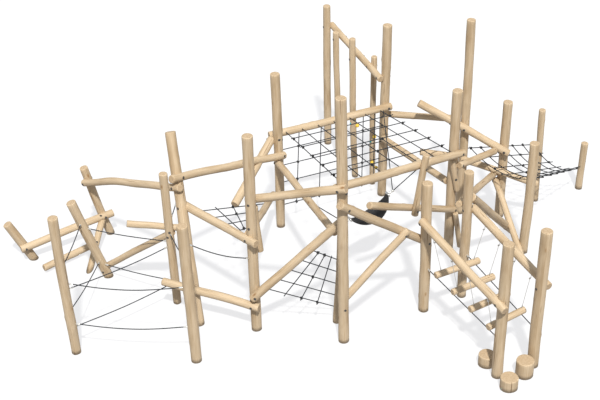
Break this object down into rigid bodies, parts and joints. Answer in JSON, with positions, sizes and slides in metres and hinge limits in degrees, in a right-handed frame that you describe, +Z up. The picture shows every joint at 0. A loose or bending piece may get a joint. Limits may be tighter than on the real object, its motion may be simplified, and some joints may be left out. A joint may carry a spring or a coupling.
{
  "type": "monkey bars",
  "caption": "Climbing frame of round peeled logs with rope nets, slack ropes, a hanging step bridge, climbing poles and a rubber hammock.",
  "frame": {"origin": "centre of the front deck post's foot, on the ground", "axes": "+X to the right along the front, +Y to the back, +Z up"},
  "size_m": [9.9058, 7.1627, 4.2007],
  "materials": {
    "log": "peeled, oiled, fine grain along the log",
    "rope": "twisted steel-cored rope, matt",
    "connector": "matt",
    "rubber": "matt",
    "steel": "satin",
    "bolt": "dull",
    "hold": "satin"
  },
  "bodies": {
    "frame": {"back_net": "rope", "balance_logs": "log", "bent_rails": "log", "bolts": "bolt", "bridge_posts_lower": "log", "bridge_posts_upper": "log", "bridge_rope_left": "rope", "bridge_rope_right": "rope", "climbing_holds": "hold", "climbing_poles": "log", "deck_back_posts": "log", "deck_beams": "log", "deck_cross_braces": "log", "deck_net": "rope", "deck_post_front": "log", "deck_post_inner": "log", "deck_post_left": "log", "deck_post_right": "log", "front_right_braces": "log", "hammock_net": "rope", "hammock_net_posts": "log", "hammock_ropes": "rope", "handrails": "log", "hanging_braces": "log", "low_net": "rope", "net_connectors": "connector", "net_side_logs": "log", "pole_post": "log", "right_post_struts": "log", "rope_bay_braces": "log", "rope_bay_posts": "log", "rope_fittings": "steel", "short_leaning_posts": "log", "side_net": "rope", "side_net_braces": "log", "slack_rope_1": "rope", "slack_rope_10": "rope", "slack_rope_11": "rope", "slack_rope_2": "rope", "slack_rope_3": "rope", "slack_rope_4": "rope", "slack_rope_5": "rope", "slack_rope_6": "rope", "slack_rope_7": "rope", "slack_rope_8": "rope", "slack_rope_9": "rope", "stumps": "log", "tall_leaning_post": "log", "tallest_post": "log", "upper_rails": "log"},
    "step_1": {"step_log_1": "log", "step_hangers_1": "steel"},
    "step_2": {"step_log_2": "log", "step_hangers_2": "steel"},
    "step_3": {"step_log_3": "log", "step_hangers_3": "steel"},
    "step_4": {"step_log_4": "log", "step_hangers_4": "steel"},
    "hammock": {"hammock": "rubber", "hammock_studs": "steel"}
  },
  "joints": [
    {"name": "step_swing_1", "type": "hinge", "parent": "frame", "child": "step_1", "pos_m": [1.75163, 0.57679, 1.48115], "axis": [0.8903, 0.4503, -0.0672], "range_deg": [-7, 7]},
    {"name": "step_swing_2", "type": "hinge", "parent": "frame", "child": "step_2", "pos_m": [1.94975, 0.21859, 1.41736], "axis": [0.8778, 0.4785, -0.0215], "range_deg": [-7, 7]},
    {"name": "step_swing_3", "type": "hinge", "parent": "frame", "child": "step_3", "pos_m": [2.14781, -0.13951, 1.35357], "axis": [0.861, 0.5079, 0.0281], "range_deg": [-7, 7]},
    {"name": "step_swing_4", "type": "hinge", "parent": "frame", "child": "step_4", "pos_m": [2.34581, -0.49748, 1.28979], "axis": [0.839, 0.538, 0.0815], "range_deg": [-7, 7]},
    {"name": "hammock_roll", "type": "hinge", "parent": "frame", "child": "hammock", "pos_m": [0.47, 1.75, 1.255], "axis": [0.8381, 0.4191, 0.3492], "range_deg": [-25, 25]}
  ],
  "couplings": [
    {"joint": "step_swing_2", "follows": "step_swing_1", "ratio": 1},
    {"joint": "step_swing_3", "follows": "step_swing_1", "ratio": 1},
    {"joint": "step_swing_4", "follows": "step_swing_1", "ratio": 1}
  ]
}
